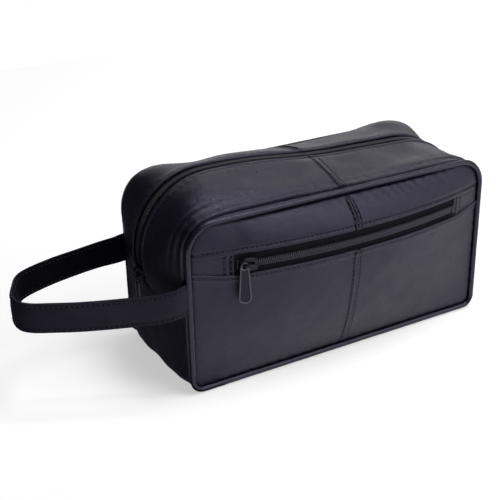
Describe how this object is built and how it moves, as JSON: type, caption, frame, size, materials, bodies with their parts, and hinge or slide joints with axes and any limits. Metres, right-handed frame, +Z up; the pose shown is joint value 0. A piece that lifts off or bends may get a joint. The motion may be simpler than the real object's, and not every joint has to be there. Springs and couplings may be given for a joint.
{
  "type": "wash bag",
  "caption": "Soft leather wash or makeup bag: a padded box with a zipped opening along the top, a zipped front pocket and a wrist strap at one end.",
  "frame": {"origin": "centre of the flat base, on the surface that the bag stands on", "axes": "+X along the length, away from the wrist strap; -Y is the front with the zipped pocket; +Z is up"},
  "size_m": [0.3642, 0.1313, 0.1453],
  "materials": {
    "bag_leather": "satin",
    "piping_leather": "satin",
    "strap_leather": "satin",
    "zip_tape": "matte",
    "zip_coil": "satin",
    "zip_metal": "satin",
    "lining_cloth": "matte",
    "board": "matte",
    "thread": "matte"
  },
  "bodies": {
    "bag": {"base_panel": "bag_leather", "base_stiffener": "board", "end_gusset_left": "bag_leather", "end_gusset_right": "bag_leather", "gusset_corner_front_left": "bag_leather", "gusset_corner_rear_left": "bag_leather", "gusset_corner_front_right": "bag_leather", "gusset_corner_rear_right": "bag_leather", "front_top_panel_left": "bag_leather", "front_top_panel_right": "bag_leather", "pocket_panel_left": "bag_leather", "pocket_panel_right": "bag_leather", "pocket_end_tab_left": "bag_leather", "pocket_end_tab_right": "bag_leather", "back_panel_left": "bag_leather", "back_panel_right": "bag_leather", "front_piping": "piping_leather", "rear_piping": "piping_leather", "pocket_zip_tape_upper": "zip_tape", "pocket_zip_tape_lower": "zip_tape", "pocket_zip_coil_upper": "zip_coil", "pocket_zip_coil_lower": "zip_coil", "pocket_zip_stops": "zip_metal", "pocket_lining": "lining_cloth", "main_zip_tape_front_left": "zip_tape", "main_zip_tape_rear_left": "zip_tape", "main_zip_tape_front_right": "zip_tape", "main_zip_tape_rear_right": "zip_tape", "main_zip_coil_left": "zip_coil", "main_zip_coil_right": "zip_coil", "main_zip_stops": "zip_metal", "strap_end_front": "strap_leather", "strap_end_rear": "strap_leather", "lining_front": "lining_cloth", "lining_rear": "lining_cloth", "lining_end_left": "lining_cloth", "lining_end_right": "lining_cloth", "lining_base": "lining_cloth"},
    "front_flap": {"gusset_top_front_left": "bag_leather", "gusset_top_front_right": "bag_leather", "main_zip_tape_front_top": "zip_tape", "main_zip_coil_front_top": "zip_coil", "lining_top_front": "lining_cloth"},
    "rear_flap": {"gusset_top_rear_left": "bag_leather", "gusset_top_rear_right": "bag_leather", "main_zip_tape_rear_top": "zip_tape", "main_zip_coil_rear_top": "zip_coil", "lining_top_rear": "lining_cloth"},
    "main_slider": {"main_slider_body": "zip_metal"},
    "main_pull": {"main_pull_tab": "zip_metal"},
    "pocket_slider": {"pocket_slider_body": "zip_metal"},
    "pocket_pull": {"pocket_pull_tab": "zip_metal"},
    "strap": {"wrist_strap": "strap_leather"}
  },
  "joints": [
    {"name": "main_slider_travel", "type": "hinge", "parent": "bag", "child": "main_slider", "pos_m": [-0.086, 0, 0.092], "axis": [0, 1, 0], "range_deg": [0, 100]},
    {"name": "main_pull_flip", "type": "hinge", "parent": "main_slider", "child": "main_pull", "pos_m": [-0.14014, 0, 0.0779], "axis": [0, 1, 0], "range_deg": [0, 150]},
    {"name": "pocket_slider_travel", "type": "hinge", "parent": "bag", "child": "pocket_slider", "pos_m": [0, 0.37285, 0.095], "axis": [0, 0, 1], "range_deg": [0, 22]},
    {"name": "pocket_pull_swing", "type": "hinge", "parent": "pocket_slider", "child": "pocket_pull", "pos_m": [-0.08895, -0.06196, 0.095], "axis": [-0.1925, -0.9813, 0], "range_deg": [-100, 45]},
    {"name": "front_flap_open", "type": "hinge", "parent": "bag", "child": "front_flap", "pos_m": [0, -0.0492, 0.1282], "axis": [1, 0, 0], "range_deg": [0, 65]},
    {"name": "rear_flap_open", "type": "hinge", "parent": "bag", "child": "rear_flap", "pos_m": [0, 0.0492, 0.1282], "axis": [-1, 0, 0], "range_deg": [0, 65]},
    {"name": "strap_swing", "type": "hinge", "parent": "bag", "child": "strap", "pos_m": [-0.1345, 0, 0.0735], "axis": [0, 1, 0], "range_deg": [-30, 30]}
  ]
}
